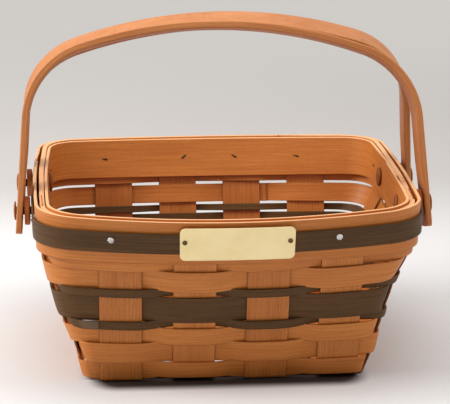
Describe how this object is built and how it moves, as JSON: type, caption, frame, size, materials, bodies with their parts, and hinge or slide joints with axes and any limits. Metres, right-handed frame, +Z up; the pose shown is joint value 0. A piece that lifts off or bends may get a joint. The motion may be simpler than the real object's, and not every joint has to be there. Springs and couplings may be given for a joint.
{
  "type": "basket with swing handles",
  "caption": "Square woven splint basket with a bowed front, banded rim, dark accent weavers, brass name plate and a pair of wooden swing handles.",
  "frame": {"origin": "centre of the underside, on the surface that the basket stands on", "axes": "+Z up, +X to the right along the handles' pivots, -Y to the front, where the name plate is"},
  "size_m": [0.2582, 0.2359, 0.2099],
  "materials": {
    "pale_splint": "satin",
    "dark_splint": "satin",
    "handle_wood": "satin",
    "washer_wood": "satin",
    "peg_wood": "satin",
    "nail_steel": "worn",
    "plate_brass": "satin"
  },
  "bodies": {
    "basket": {"front_to_back_stake_1": "pale_splint", "front_to_back_stake_2": "pale_splint", "front_to_back_stake_3": "pale_splint", "front_to_back_stake_4": "pale_splint", "side_to_side_stake_1": "pale_splint", "side_to_side_stake_2": "pale_splint", "side_to_side_stake_3": "pale_splint", "side_to_side_stake_4": "pale_splint", "weaver_row_1": "pale_splint", "weaver_row_2": "pale_splint", "weaver_row_3": "pale_splint", "weaver_row_4": "dark_splint", "weaver_row_5": "dark_splint", "weaver_row_6": "dark_splint", "weaver_row_7": "pale_splint", "weaver_row_8": "pale_splint", "top_weaver": "pale_splint", "inner_rim_band": "pale_splint", "outer_rim_band": "pale_splint", "trim_strip": "dark_splint", "rim_nail_front_left": "nail_steel", "rim_nail_front_right": "nail_steel", "rim_nail_back_outer_left": "nail_steel", "rim_nail_back_inner_left": "nail_steel", "rim_nail_back_inner_right": "nail_steel", "rim_nail_back_outer_right": "nail_steel", "rim_nail_left_front": "nail_steel", "rim_nail_left_back": "nail_steel", "rim_nail_right_front": "nail_steel", "rim_nail_right_back": "nail_steel", "name_plate": "plate_brass", "plate_nail_left": "plate_brass", "plate_nail_right": "plate_brass", "handle_washer_front_left": "washer_wood", "handle_washer_front_right": "washer_wood", "handle_washer_back_left": "washer_wood", "handle_washer_back_right": "washer_wood", "handle_peg_front_left": "peg_wood", "handle_peg_front_right": "peg_wood", "handle_peg_back_left": "peg_wood", "handle_peg_back_right": "peg_wood", "peg_cap_front_left": "peg_wood", "peg_cap_front_right": "peg_wood", "peg_cap_back_left": "peg_wood", "peg_cap_back_right": "peg_wood"},
    "front_handle": {"front_handle": "handle_wood"},
    "back_handle": {"back_handle": "handle_wood"}
  },
  "joints": [
    {"name": "front_handle_hinge", "type": "hinge", "parent": "basket", "child": "front_handle", "pos_m": [0, -0.0365, 0.097], "axis": [1, 0, 0], "range_deg": [0, 154]},
    {"name": "back_handle_hinge", "type": "hinge", "parent": "basket", "child": "back_handle", "pos_m": [0, 0.0365, 0.097], "axis": [-1, 0, 0], "range_deg": [0, 154]}
  ]
}
